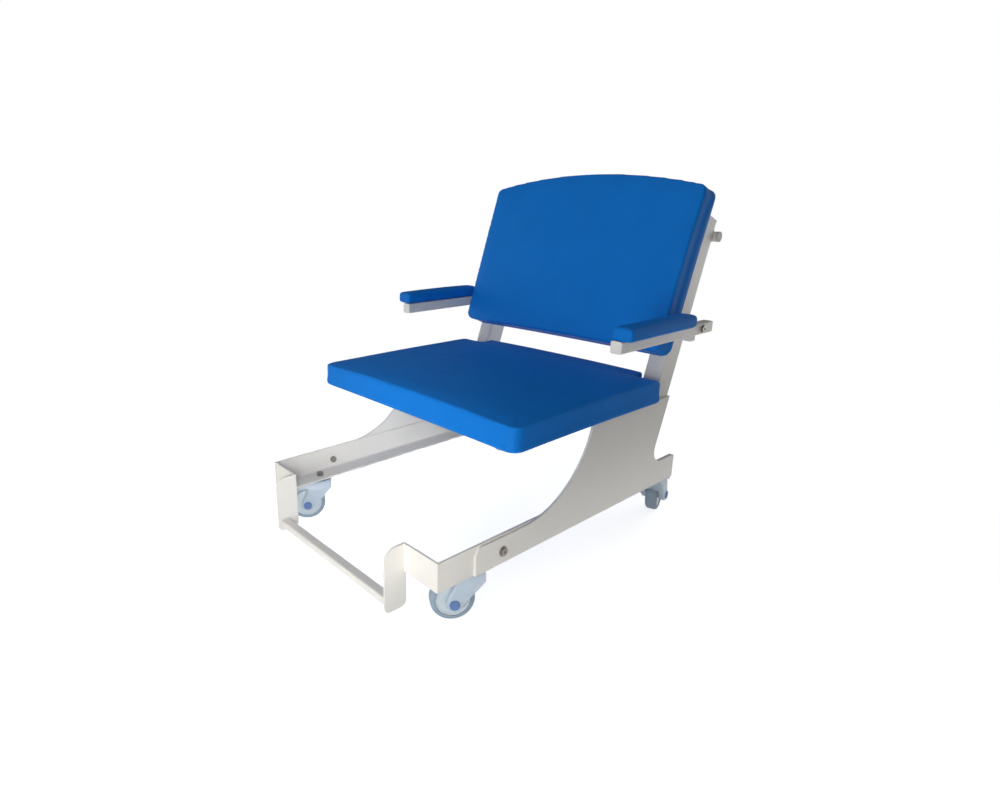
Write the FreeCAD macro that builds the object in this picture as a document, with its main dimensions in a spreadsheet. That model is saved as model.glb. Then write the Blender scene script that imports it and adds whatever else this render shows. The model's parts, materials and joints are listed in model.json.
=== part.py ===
import FreeCAD, Part
import math
import os
import re

import Sketcher
from FreeCAD import Placement, Rotation, Vector

# Driving dimensions in millimetres and degrees.
# Seat and plate lengths are measured from the front edge of the seat.
SIZES = {
    # Seat
    "seat_width": 756,
    "seat_depth": 590,
    "seat_tongue": 50,
    "seat_notch_gap": 7,
    "seat_height": 462,
    "seat_thickness": 60,
    "seat_corner": 28,
    "seat_crown": 6,
    "board_thickness": 12,
    "board_inset": 19,
    # Backrest
    "back_inset": 25,
    "back_gap": 68,
    "back_lean": 19,
    "back_width": 728,
    "back_flare": 4,
    "back_height": 461,
    "back_arch": 35,
    "back_thickness": 69,
    "back_corner": 26,
    "back_crown": 8,
    "back_board_thickness": 12,
    "back_board_inset": 16,
    # Upholstery shared by all pads
    "pad_edge": 7,
    "pad_draw": 2.5,
    "notch_draw": 0.5,
    # Side plates
    "frame_width": 712,
    "plate_thickness": 6,
    "plate_nose_reach": 84,
    "nose_height": 66,
    "nose_round": 22,
    "arch_start": 71,
    "arch_radius": 253,
    "heel_past_back": 178,
    "heel_height": 70,
    "heel_round": 6,
    "heel_notch_round": 40,
    # Lower rails
    "rail_reach": 190,
    "rail_end_gap": 6,
    "rail_height": 70,
    "rail_thickness": 5,
    "rail_bend": 6,
    "flange_width": 62,
    "rail_bolt_set": 2,
    "rail_bolt_rise": 30,
    "rail_bolt_diameter": 10,
    "rail_bolt_head": 19,
    "rail_bolt_head_height": 6,
    "nut_height": 8,
    "hole_clearance": 0.2,
    # Foot brackets and foot bar
    "bracket_reach": 245,
    "hanger_spread": 482,
    "hanger_bottom": 41,
    "hanger_top_round": 30,
    "hanger_foot_round": 14,
    "foot_bar_depth": 26,
    "foot_bar_height": 20,
    "foot_bar_bottom": 55,
    "foot_bar_set": 6,
    "foot_bar_wall": 2,
    "foot_bar_round": 4,
    # Cross tubes under the seat
    "cross_tube_depth": 40,
    "cross_tube_height": 25,
    "cross_tube_wall": 2,
    "cross_tube_round": 4,
    "front_cross_set": 345,
    "rear_cross_gap": 2,
    # Uprights and back rails
    "upright_width": 50,
    "upright_depth": 70,
    "upright_wall": 2.5,
    "upright_round": 5,
    "upright_rise": 399,
    "upright_drop": 262,
    "cap_thickness": 3,
    "cap_plug_depth": 16,
    "plug_clearance": 0.3,
    "back_rail_height": 40,
    "back_rail_depth": 25,
    "back_rail_low": 60,
    "back_rail_high": 300,
    # Push bar
    "push_bar_diameter": 28,
    "push_bar_wall": 2,
    "push_bar_rise": 364,
    "push_bar_standoff": 6,
    "push_bar_overhang": 4,
    "saddle_width": 32,
    "saddle_height": 30,
    "push_cap_thickness": 5,
    # Armrests
    "arm_bush_least": 23,
    "arm_side_gap": 5,
    "arm_tube_width": 30,
    "arm_tube_height": 30,
    "arm_tube_wall": 2.5,
    "arm_tube_round": 4,
    "arm_rise": 135,
    "arm_reach": 386,
    "arm_tail": 53,
    "arm_pivot_inset": 49,
    "arm_pad_lead": 5,
    "arm_pad_length": 311,
    "arm_pad_width": 55,
    "arm_pad_thickness": 36,
    "arm_pad_corner": 9,
    "arm_pad_crown": 3,
    "arm_sleeve_diameter": 18,
    "arm_bolt_diameter": 10,
    "arm_bolt_head": 20,
    "arm_bolt_head_height": 6,
    "arm_bush_diameter": 26,
    "arm_stop_lead": 54,
    "arm_stop_length": 28,
    "arm_stop_height": 14,
    "arm_stop_grip": 25,
    # Casters
    "caster_head": 23,
    "stem_inset": 34,
    "front_stem_reach": 62,
    "rear_stem_past_back": 150,
    "trail": 40,
    "front_right_angle": 148,
    "front_left_angle": 150,
    "rear_right_angle": 18,
    "rear_left_angle": 14,
    "wheel_diameter": 104,
    "tyre_width": 34,
    "tyre_depth": 12,
    "tyre_shoulder": 9,
    "tyre_side_gap": 2.25,
    "hub_dish": 4,
    "hub_boss_diameter": 26,
    "fork_cheek": 16,
    "fork_lip": 17,
    "fork_top_gap": 5,
    "fork_edge": 3,
    "fork_rear_inset": 2,
    "fork_boss_diameter": 37,
    "fork_front_angle": 23,
    "fork_rear_angle": 40,
    "fork_arm_set": 2,
    "shoulder_rise": 24,
    "shoulder_inset": 14,
    "shoulder_round": 60,
    "hood_reach": 34,
    "hood_nose": 50,
    "hood_bend": 50,
    "hood_show": 1,
    "crown_diameter": 66,
    "crown_thickness": 8,
    "crown_gap": 3,
    "nut_wall": 4,
    "wheel_clearance": 3,
    "axle_diameter": 8,
    "axle_cap_diameter": 24,
    "axle_cap_thickness": 4,
    "stem_diameter": 12,
    "stem_head": 19,
    "stem_head_height": 8,
    "thrust_washer_diameter": 50,
    "stem_nut_height": 10,
    "stem_nut_pocket": 25,
    "stem_tail": 2,
    "pedal_set": 40,
    "pedal_drop": 10.5,
    "pedal_length": 38,
    "pedal_width": 28,
    "pedal_barrel": 9,
    "pedal_pin": 5,
    "pedal_pin_depth": 5,
    "pedal_blade": 7,
    "pedal_floor": 2,
    "pedal_space": 2,
    # Clearances
    "running_clearance": 0.05,
    "side_clearance": 0.5,
    "face_clearance": 0.3,
}

# Places worked out from the driving dimensions. The origin is on the floor, midway along the chair.
PLACES = {
    "plate_inner": "frame_width / 2 - plate_thickness",
    "caster_height": "wheel_diameter + caster_head",
    "seat_bottom": "seat_height - seat_thickness",
    "seat_neck": "plate_inner - upright_width - seat_notch_gap",
    "plate_top": "seat_bottom - board_thickness",
    "nose_top": "caster_height + nose_height",
    "heel_top": "caster_height + heel_height",
    "arch_top_set": "arch_start + sqrt(arch_radius ^ 2 - (nose_top + arch_radius - plate_top) ^ 2)",
    "back_set": "seat_depth - back_inset",
    "back_z": "seat_height + back_gap",
    "heel_reach": "back_set + heel_past_back",
    "upright_front": "back_thickness + back_board_thickness",
    "upright_back": "upright_front + upright_depth",
    "heel_corner_set": "back_set + (upright_back + (heel_top - back_z) * sin(back_lean)) / cos(back_lean)",
    "plate_rear_set": "back_set + (upright_back + (plate_top - back_z) * sin(back_lean)) / cos(back_lean)",
    "notch_tangent": "heel_notch_round / tan((90 - back_lean) / 2)",
    "push_bar_out": "upright_back + push_bar_standoff + push_bar_diameter / 2",
    "rear_reach": "back_set + push_bar_rise * sin(back_lean) + push_bar_out * cos(back_lean)"
                  " + push_bar_diameter / 2",
    "seat_front": "(bracket_reach - rear_reach) / 2",
    "back_y": "seat_front + back_set",
    "upright_x": "plate_inner - upright_width / 2",
    "upright_length": "upright_rise + upright_drop",
    "cross_tube_bottom": "plate_top - cross_tube_height",
    "rear_cross_set": "back_set + (upright_front + (cross_tube_bottom - back_z) * sin(back_lean))"
                      " / cos(back_lean) - cross_tube_depth - rear_cross_gap",
    "hanger_x": "hanger_spread / 2",
    "bracket_y": "seat_front - rail_reach + rail_thickness",
    "rail_rear_y": "seat_front + heel_reach - rail_end_gap",
    "rail_bolt_y": "seat_front + rail_bolt_set",
    "rail_bolt_z": "caster_height + rail_bolt_rise",
    "arm_inside": "max(back_width / 2 + back_flare + arm_side_gap, plate_inner + arm_bush_least)",
    "arm_middle": "arm_inside + arm_tube_width / 2",
    "arm_tube_top": "seat_height + arm_rise",
    "arm_tube_bottom": "arm_tube_top - arm_tube_height",
    "arm_pivot_z": "arm_tube_top - arm_tube_height / 2",
    "arm_pivot_y": "back_y + (upright_front + arm_pivot_inset + (arm_pivot_z - back_z) * sin(back_lean))"
                   " / cos(back_lean)",
    "arm_front_y": "arm_pivot_y - arm_reach",
    "arm_rear_y": "arm_pivot_y + arm_tail",
    "stem_x": "plate_inner - stem_inset",
    "front_stem_y": "seat_front - front_stem_reach",
    "rear_stem_y": "back_y + rear_stem_past_back",
    "axle_z": "wheel_diameter / 2",
    "fork_gap": "tyre_width + 2 * tyre_side_gap",
    "fork_width": "fork_gap + 2 * fork_cheek",
    "fork_top": "caster_height - fork_top_gap",
    "crown_top": "caster_height - crown_gap",
    "nut_seat": "fork_top - crown_thickness - nut_wall",
    "hood_radius": "wheel_diameter / 2 - hood_show",
    "pedal_z": "caster_height - pedal_drop",
    "pedal_recess_z": "wheel_diameter + wheel_clearance + pedal_floor",
    "pedal_tip_set": "pedal_set + pedal_length",
    "hub_radius": "wheel_diameter / 2 - tyre_depth",
}

LEFT = 1
RIGHT = -1
SIDES = {"right": 1, "left": -1}
CORNERS = {
    "front_right": (1, "front_stem_y"),
    "front_left": (-1, "front_stem_y"),
    "rear_right": (1, "rear_stem_y"),
    "rear_left": (-1, "rear_stem_y"),
}
X_AXIS = Vector(1, 0, 0)
Z_AXIS = Vector(0, 0, 1)

document = FreeCAD.newDocument("TransferChair")
pieces = []


def linked(formula):
    """Write the sheet's name before every size or place that a formula names."""
    def owner(match):
        word = match.group()
        if word in SIZES:
            return "Sizes." + word
        if word in PLACES:
            return "Places." + word
        return word
    return re.sub(r"[a-z_]+", owner, formula)


def fill_sheet(name, rows):
    """Make a sheet with one named cell for each row."""
    sheet = document.addObject("Spreadsheet::Sheet", name)
    for row, (alias, content) in enumerate(rows.items(), start=1):
        sheet.set(f"A{row}", alias)
        sheet.set(f"B{row}", content)
        sheet.setAlias(f"B{row}", alias)
    document.recompute()
    return sheet


sizes = fill_sheet("Sizes", {alias: str(number) for alias, number in SIZES.items()})
places = fill_sheet("Places", {alias: "=" + linked(formula).replace("Places.", "")
                               for alias, formula in PLACES.items()})


def value(item, formula):
    """Work a formula out to a number."""
    return float(item.evalExpression(linked(formula)))


def size(alias):
    """Read one size or place from its sheet."""
    return float((sizes if alias in SIZES else places).get(alias))


def bind(item, name, formula):
    """Tie a property of a document object to a formula."""
    item.setExpression(name, linked(formula))


def put(item, x="0", y="0", z="0", axis=None, angle="0"):
    """Tie an object's place, and its turn about one axis, to formulas."""
    if axis is not None:
        item.Placement = Placement(Vector(), Rotation(axis, value(item, angle)))
        bind(item, "Placement.Rotation.Angle", angle)
    for letter, formula in zip("xyz", (x, y, z)):
        bind(item, "Placement.Base." + letter, formula)


def put_on_back(item, x="0", out="0", up="0"):
    """Place an object in the leaning frame of the backrest: out is rearwards from its face, up along it."""
    put(item, x,
        f"back_y + ({out}) * cos(back_lean) + ({up}) * sin(back_lean)",
        f"back_z - ({out}) * sin(back_lean) + ({up}) * cos(back_lean)",
        axis=-X_AXIS, angle="back_lean")


def start_body(label, keep=True):
    """Start a body; one that is kept is written to a file of its own."""
    body = document.addObject("PartDesign::Body", label)
    body.Label = label
    if keep:
        pieces.append(body)
    return body


def start_sketch(body, plane, offset="0"):
    """Start a sketch on one of the body's own origin planes."""
    sketch = body.newObject("Sketcher::SketchObject", "Outline")
    support = [item for item in body.Origin.OriginFeatures if item.Role == plane + "_Plane"]
    sketch.AttachmentSupport = [(support[0], "")]
    sketch.MapMode = "FlatFace"
    bind(sketch, "AttachmentOffset.Base.z", offset)
    return sketch


def pin(sketch, geometry, vertex, x, y):
    """Hold a point of a sketch at a place given by formulas."""
    for kind, formula in (("DistanceX", x), ("DistanceY", y)):
        rule = Sketcher.Constraint(kind, -1, 1, geometry, vertex, value(sketch, formula))
        bind(sketch, f"Constraints[{sketch.addConstraint(rule)}]", formula)


def arc_between(start, end, radius, turn):
    """Arc of under half a circle from start to end, and whether it runs from end to start."""
    chord = end - start
    rise = math.sqrt(max(radius ** 2 - chord.Length ** 2 / 4, 0))
    across = Vector(-chord.y, chord.x, 0).normalize()
    centre = (start + end) * 0.5 + across * (rise * turn)
    first, last = (start, end) if turn == LEFT else (end, start)
    angles = [math.atan2(spot.y - centre.y, spot.x - centre.x) for spot in (first, last)]
    circle = Part.Circle(centre, Z_AXIS, radius)
    return Part.ArcOfCircle(circle, angles[0], angles[1]), turn == RIGHT


def draw(body, plane, corners, mirror=False, offset="0"):
    """Closed outline. A corner is (x, y), or (x, y, radius, turn) where an arc arrives at it."""
    sketch = start_sketch(body, plane, offset)
    spots = []
    marks = []
    for corner in corners:
        x = f"-({corner[0]})" if mirror else corner[0]
        spots.append(Vector(value(sketch, x), value(sketch, corner[1]), 0))
        marks.append(sketch.addGeometry(Part.Point(spots[-1]), True))
        pin(sketch, marks[-1], 1, x, corner[1])
    for index, corner in enumerate(corners):
        ends = [(1, marks[index - 1]), (2, marks[index])]
        if len(corner) == 2:
            edge = sketch.addGeometry(Part.LineSegment(spots[index - 1], spots[index]))
        else:
            turn = -corner[3] if mirror else corner[3]
            arc, backwards = arc_between(spots[index - 1], spots[index], value(sketch, corner[2]), turn)
            edge = sketch.addGeometry(arc)
            rule = sketch.addConstraint(Sketcher.Constraint("Radius", edge, arc.Radius))
            bind(sketch, f"Constraints[{rule}]", corner[2])
            if backwards:
                ends = [(2, marks[index - 1]), (1, marks[index])]
        for vertex, mark in ends:
            sketch.addConstraint(Sketcher.Constraint("Coincident", edge, vertex, mark, 1))
    return sketch


def draw_circles(body, plane, circles, offset="0"):
    """Circles, each (x, y, diameter)."""
    sketch = start_sketch(body, plane, offset)
    for x, y, diameter in circles:
        centre = Vector(value(sketch, x), value(sketch, y), 0)
        round_edge = sketch.addGeometry(Part.Circle(centre, Z_AXIS, value(sketch, diameter) / 2))
        pin(sketch, round_edge, 3, x, y)
        rule = Sketcher.Constraint("Diameter", round_edge, value(sketch, diameter))
        bind(sketch, f"Constraints[{sketch.addConstraint(rule)}]", diameter)
    return sketch


def rounded(x_low, x_high, y_low, y_high, radius):
    """Corners of a rectangle with rounded corners."""
    return [
        (f"{x_low} + {radius}", y_low, radius, LEFT),
        (f"{x_high} - ({radius})", y_low),
        (x_high, f"{y_low} + {radius}", radius, LEFT),
        (x_high, f"{y_high} - ({radius})"),
        (f"{x_high} - ({radius})", y_high, radius, LEFT),
        (f"{x_low} + {radius}", y_high),
        (x_low, f"{y_high} - ({radius})", radius, LEFT),
        (x_low, f"{y_low} + {radius}"),
    ]


def hexagon(across):
    """Corners of a hexagon with flats a given distance apart, about the origin."""
    return [(f"{across} / sqrt(3) * cos({60 * turn})", f"{across} / sqrt(3) * sin({60 * turn})")
            for turn in range(6)]


def extrude(kind, body, sketch, length, both=False, flip=False):
    """Pad or pocket a sketch: along its normal, flipped, or evenly to both sides."""
    feature = body.newObject("PartDesign::" + kind, kind)
    feature.Profile = sketch
    feature.SideType = "Symmetric" if both else "One side"
    feature.Reversed = flip
    bind(feature, "Length", length)
    return feature


def pad(body, sketch, length, **sides):
    return extrude("Pad", body, sketch, length, **sides)


def pocket(body, sketch, length, **sides):
    return extrude("Pocket", body, sketch, length, **sides)


def revolve(body, sketch):
    """Turn a half section about its horizontal axis."""
    feature = body.newObject("PartDesign::Revolution", "Revolution")
    feature.Profile = sketch
    feature.ReferenceAxis = (sketch, ["H_Axis"])
    feature.Angle = 360
    return feature


def ease_edges(kind, body, feature, amount, wanted):
    """Fillet or chamfer the edges of a feature that a test picks."""
    document.recompute()
    names = [f"Edge{number}" for number, edge in enumerate(feature.Shape.Edges, start=1) if wanted(edge)]
    eased = body.newObject("PartDesign::" + kind, kind)
    eased.Base = (feature, names)
    bind(eased, "Radius" if kind == "Fillet" else "Size", amount)
    return eased


def group(label, members):
    """Put like pieces, each a separate solid, in one node."""
    compound = document.addObject("Part::Compound", label)
    compound.Label = label
    compound.Links = members
    pieces.append(compound)
    return compound


def hollow_bar(label, plane, x_low, x_high, y_low, y_high, radius, wall, length, keep=True, both=False):
    """Rectangular tube with rounded corners."""
    body = start_body(label, keep)
    pad(body, draw(body, plane, rounded(x_low, x_high, y_low, y_high, radius)), length, both=both)
    inner = rounded(f"{x_low} + {wall}", f"{x_high} - {wall}", f"{y_low} + {wall}", f"{y_high} - {wall}",
                    f"({radius} - {wall})")
    pocket(body, draw(body, plane, inner), length, both=both, flip=not both)
    return body


# Frame

def side_plate(side, sign):
    """Cut plate: a low nose over the lower rail, an arch up to the seat and a heel over the caster."""
    body = start_body("side_plate_" + side)
    outline = [
        ("-plate_nose_reach", "caster_height"),
        ("heel_reach", "caster_height"),
        ("heel_reach", "heel_top - heel_round"),
        ("heel_reach - heel_round", "heel_top", "heel_round", LEFT),
        ("heel_corner_set + notch_tangent", "heel_top"),
        ("heel_corner_set + notch_tangent * sin(back_lean)", "heel_top + notch_tangent * cos(back_lean)",
         "heel_notch_round", RIGHT),
        ("plate_rear_set", "plate_top"),
        ("arch_top_set", "plate_top"),
        ("arch_start", "nose_top", "arch_radius", RIGHT),
        ("nose_round - plate_nose_reach", "nose_top"),
        ("-plate_nose_reach", "nose_top - nose_round", "nose_round", LEFT),
    ]
    pad(body, draw(body, "YZ", outline), "plate_thickness")
    hole = [("rail_bolt_set", "rail_bolt_z", "rail_bolt_diameter + 2 * hole_clearance")]
    pocket(body, draw_circles(body, "YZ", hole), "2 * plate_thickness", flip=True)
    put(body, "plate_inner" if sign > 0 else "-plate_inner - plate_thickness", "seat_front")


def lower_rail(side, sign):
    """Angle that carries both casters of one side, inside the side plate."""
    body = start_body("lower_rail_" + side)
    outline = [
        ("plate_inner", "caster_height"),
        ("plate_inner", "caster_height + rail_height"),
        ("plate_inner - rail_thickness", "caster_height + rail_height"),
        ("plate_inner - rail_thickness", "caster_height + rail_thickness + rail_bend"),
        ("plate_inner - rail_thickness - rail_bend", "caster_height + rail_thickness", "rail_bend", RIGHT),
        ("plate_inner - flange_width", "caster_height + rail_thickness"),
        ("plate_inner - flange_width", "caster_height"),
    ]
    pad(body, draw(body, "XZ", outline, mirror=sign < 0), "rail_rear_y - bracket_y")
    stem_hole = "stem_diameter + 2 * hole_clearance"
    stems = [(f"{sign} * stem_x", f"{stem} - rail_rear_y", stem_hole)
             for stem in ("front_stem_y", "rear_stem_y")]
    pocket(body, draw_circles(body, "XY", stems), "caster_height + rail_thickness + rail_bend", flip=True)
    bolt = [("rail_bolt_y - rail_rear_y", "rail_bolt_z", "rail_bolt_diameter + 2 * hole_clearance")]
    pocket(body, draw_circles(body, "YZ", bolt), "frame_width", both=True)
    put(body, y="rail_rear_y")


def foot_bracket(side, sign):
    """Bent sheet at the front: a face across the end of the rail, and a hanger for the foot bar."""
    body = start_body("foot_bracket_" + side)
    reach = "(rail_reach + rail_thickness - bracket_reach - 2 * rail_thickness)"
    top = "caster_height + rail_height"
    hanger = [
        (f"{reach} + hanger_foot_round", "hanger_bottom", "hanger_foot_round", LEFT),
        ("-hanger_foot_round", "hanger_bottom"),
        ("0", "hanger_bottom + hanger_foot_round", "hanger_foot_round", LEFT),
        ("0", top),
        (f"{reach} + hanger_top_round", top),
        (reach, f"{top} - hanger_top_round", "hanger_top_round", LEFT),
        (reach, "hanger_bottom + hanger_foot_round"),
    ]
    pad(body, draw(body, "YZ", hanger), "rail_thickness", flip=sign > 0)
    face = [("0", "caster_height"), ("plate_inner - hanger_x", "caster_height"),
            ("plate_inner - hanger_x", top), ("0", top)]
    pad(body, draw(body, "XZ", face, mirror=sign < 0), "rail_thickness")
    put(body, f"{sign} * hanger_x", "bracket_y")


def foot_bar():
    """Rectangular tube that joins the two hangers near the floor."""
    body = hollow_bar("foot_bar", "YZ", "0", "foot_bar_depth", "0", "foot_bar_height",
                      "foot_bar_round", "foot_bar_wall", "hanger_spread - 2 * rail_thickness", both=True)
    put(body, y="seat_front - bracket_reach + foot_bar_set", z="foot_bar_bottom")


def cross_tube(label, reach):
    """Tube between the side plates, under the seat board."""
    body = hollow_bar(label, "YZ", "0", "cross_tube_depth", "0", "cross_tube_height",
                      "cross_tube_round", "cross_tube_wall", "2 * plate_inner", both=True)
    put(body, y=f"seat_front + {reach}", z="cross_tube_bottom")


def back_upright(side, sign):
    """Leaning tube along the rear edge of the side plate, which carries the backrest and the armrest."""
    body = hollow_bar("back_upright_" + side, "XY", "-upright_width / 2", "upright_width / 2",
                      "upright_front", "upright_back", "upright_round", "upright_wall", "upright_length")
    put_on_back(body, f"{sign} * upright_x", up="-upright_drop")


def upright_cap(side, sign):
    """Moulded cap over the top of an upright, with a plug inside the tube."""
    body = start_body("upright_cap_" + side, keep=False)
    pad(body, draw(body, "XY", rounded("-upright_width / 2", "upright_width / 2", "upright_front",
                                       "upright_back", "upright_round")), "cap_thickness")
    margin = "(upright_wall + plug_clearance)"
    plug = rounded(f"{margin} - upright_width / 2", f"upright_width / 2 - {margin}",
                   f"upright_front + {margin}", f"upright_back - {margin}", "upright_round - upright_wall")
    pad(body, draw(body, "XY", plug), "cap_plug_depth", flip=True)
    put_on_back(body, f"{sign} * upright_x", up="upright_rise")
    return body


def back_rail(label, rise):
    """Tube between the uprights, behind the backrest board."""
    body = hollow_bar(label, "YZ", "upright_front", "upright_front + back_rail_depth", "0",
                      "back_rail_height", "cross_tube_round", "cross_tube_wall",
                      "2 * (plate_inner - upright_width)", keep=False, both=True)
    put_on_back(body, up=rise)
    return body


# Push bar

def push_bar():
    """Round bar behind the uprights."""
    body = start_body("push_bar")
    centre = ("0", "0")
    length = "2 * (plate_inner + push_bar_overhang)"
    pad(body, draw_circles(body, "YZ", [centre + ("push_bar_diameter",)]), length, both=True)
    bore = [centre + ("push_bar_diameter - 2 * push_bar_wall",)]
    pocket(body, draw_circles(body, "YZ", bore), length, both=True)
    put_on_back(body, out="push_bar_out", up="push_bar_rise")


def push_bar_saddle(side, sign):
    """Block between an upright and the push bar, hollowed to the bar."""
    body = start_body("push_bar_saddle_" + side, keep=False)
    near = "upright_back - push_bar_out"
    block = [(near, "-saddle_height / 2"), ("0", "-saddle_height / 2"),
             ("0", "saddle_height / 2"), (near, "saddle_height / 2")]
    pad(body, draw(body, "YZ", block), "saddle_width", both=True)
    bore = [("0", "0", "push_bar_diameter + 2 * running_clearance")]
    pocket(body, draw_circles(body, "YZ", bore), "saddle_width", both=True)
    put_on_back(body, f"{sign} * upright_x", "push_bar_out", "push_bar_rise")
    return body


def push_bar_cap(side, sign):
    """Moulded end of the push bar, plugged into the tube."""
    body = start_body("push_bar_cap_" + side, keep=False)
    rim = draw_circles(body, "YZ", [("0", "0", "push_bar_diameter")])
    pad(body, rim, "push_cap_thickness", flip=sign < 0)
    bore = "push_bar_diameter - 2 * push_bar_wall - 2 * plug_clearance"
    pad(body, draw_circles(body, "YZ", [("0", "0", bore)]), "cap_plug_depth", flip=sign > 0)
    put_on_back(body, f"{sign} * (plate_inner + push_bar_overhang)", "push_bar_out", "push_bar_rise")
    return body


# Armrests

def arm_tube(side, sign):
    """Square tube that carries the arm pad and turns on a bolt through its welded sleeve."""
    body = start_body("arm_tube_" + side)
    length = "arm_reach + arm_tail"
    half = "arm_tube_width / 2"
    section = ("-" + half, half, "-arm_tube_height / 2", "arm_tube_height / 2", "arm_tube_round")
    pad(body, draw(body, "XZ", rounded(*section)), length)
    wall = "arm_tube_wall"
    inner = rounded(f"{wall} - {half}", f"{half} - {wall}", f"{wall} - arm_tube_height / 2",
                    f"arm_tube_height / 2 - {wall}", f"(arm_tube_round - {wall})")
    pocket(body, draw(body, "XZ", inner), length, flip=True)
    sleeve = draw_circles(body, "YZ", [("-arm_tail", "0", "arm_sleeve_diameter")])
    pad(body, sleeve, "arm_tube_width - arm_tube_wall", both=True)
    bore = draw_circles(body, "YZ", [("-arm_tail", "0", "arm_bolt_diameter + 2 * running_clearance")])
    pocket(body, bore, "2 * arm_tube_width", both=True)
    put(body, f"{sign} * arm_middle", "arm_rear_y", "arm_pivot_z")


def arm_plug(side, sign, end, inward):
    """Moulded plug in one end of an arm tube."""
    body = start_body(f"arm_plug_{end}_{side}", keep=False)
    half = "arm_tube_width / 2"
    rim = rounded("-" + half, half, "-arm_tube_height / 2", "arm_tube_height / 2", "arm_tube_round")
    pad(body, draw(body, "XZ", rim), "cap_thickness", flip=inward > 0)
    margin = "(arm_tube_wall + plug_clearance)"
    stub = rounded(f"{margin} - {half}", f"{half} - {margin}", f"{margin} - arm_tube_height / 2",
                   f"arm_tube_height / 2 - {margin}", "(arm_tube_round - arm_tube_wall)")
    pad(body, draw(body, "XZ", stub), "cap_plug_depth", flip=inward < 0)
    put(body, f"{sign} * arm_middle", f"arm_{end}_y", "arm_pivot_z")
    return body


def arm_bush(side, sign):
    """Spacer on the pivot bolt between the upright and the arm tube."""
    body = start_body("arm_bush_" + side, keep=False)
    length = "arm_inside - plate_inner - face_clearance"
    ring = [("0", "0", "arm_bush_diameter"), ("0", "0", "arm_bolt_diameter + 2 * running_clearance")]
    pad(body, draw_circles(body, "YZ", ring), length, flip=sign < 0)
    put(body, f"{sign} * plate_inner", "arm_pivot_y", "arm_pivot_z")
    return body


def arm_bolt(side, sign):
    """Pivot bolt screwed to the side of the upright, with its head outside the arm tube."""
    body = start_body("arm_bolt_" + side, keep=False)
    grip = "arm_inside + arm_tube_width + face_clearance - plate_inner"
    pad(body, draw_circles(body, "YZ", [("0", "0", "arm_bolt_diameter")]), grip, flip=sign < 0)
    head = draw_circles(body, "YZ", [("0", "0", "arm_bolt_head")], offset=f"{sign} * ({grip})")
    pad(body, head, "arm_bolt_head_height", flip=sign < 0)
    socket = draw(body, "YZ", hexagon("(arm_bolt_head / 3)"),
                  offset=f"{sign} * ({grip} + arm_bolt_head_height)")
    pocket(body, socket, "arm_bolt_head_height / 2", flip=sign < 0)
    put(body, f"{sign} * plate_inner", "arm_pivot_y", "arm_pivot_z")
    return body


def arm_stop(side, sign):
    """Ledge on the upright that the arm tube rests on."""
    body = start_body("arm_stop_" + side, keep=False)
    outline = rounded("0", "arm_stop_length", "-arm_stop_height", "0", "(arm_stop_height / 6)")
    pad(body, draw(body, "YZ", outline), "arm_inside + arm_stop_grip - plate_inner", flip=sign < 0)
    put(body, f"{sign} * plate_inner", "arm_pivot_y - arm_stop_lead", "arm_tube_bottom - face_clearance")
    return body


# Fasteners of the lower rails

def rail_bolt(side, sign):
    """Button head bolt through the side plate and the lower rail."""
    body = start_body("rail_bolt_" + side, keep=False)
    grip = "plate_thickness + rail_thickness + nut_height"
    pad(body, draw_circles(body, "YZ", [("0", "0", "rail_bolt_diameter")]), grip, flip=sign > 0)
    head = draw_circles(body, "YZ", [("0", "0", "rail_bolt_head")])
    pad(body, head, "rail_bolt_head_height", flip=sign < 0)
    socket = draw(body, "YZ", hexagon("(rail_bolt_head / 3)"), offset=f"{sign} * rail_bolt_head_height")
    pocket(body, socket, "rail_bolt_head_height / 2", flip=sign < 0)
    put(body, f"{sign} * frame_width / 2", "rail_bolt_y", "rail_bolt_z")
    return body


def rail_nut(side, sign):
    """Hexagon nut inside the lower rail."""
    body = start_body("rail_nut_" + side, keep=False)
    pad(body, draw(body, "YZ", hexagon("(1.7 * rail_bolt_diameter)")), "nut_height", flip=sign > 0)
    bore = [("0", "0", "rail_bolt_diameter + 2 * running_clearance")]
    pocket(body, draw_circles(body, "YZ", bore), "4 * nut_height", both=True)
    put(body, f"{sign} * (plate_inner - rail_thickness)", "rail_bolt_y", "rail_bolt_z")
    return body


# Casters, drawn with the trail along y and the stem axis at the origin

def put_at_stem(item, corner, z="0"):
    """Place a caster piece at its stem, turned to the angle that it stands at."""
    sign, stem_y = CORNERS[corner]
    put(item, f"{sign} * stem_x", stem_y, z, axis=Z_AXIS, angle=corner + "_angle")


def put_at_axle(item, corner):
    """Place a caster piece with its origin at the middle of the axle."""
    sign, stem_y = CORNERS[corner]
    put(item, f"{sign} * stem_x - trail * sin({corner}_angle)", f"{stem_y} + trail * cos({corner}_angle)",
        "axle_z", axis=Z_AXIS, angle=corner + "_angle")


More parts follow.
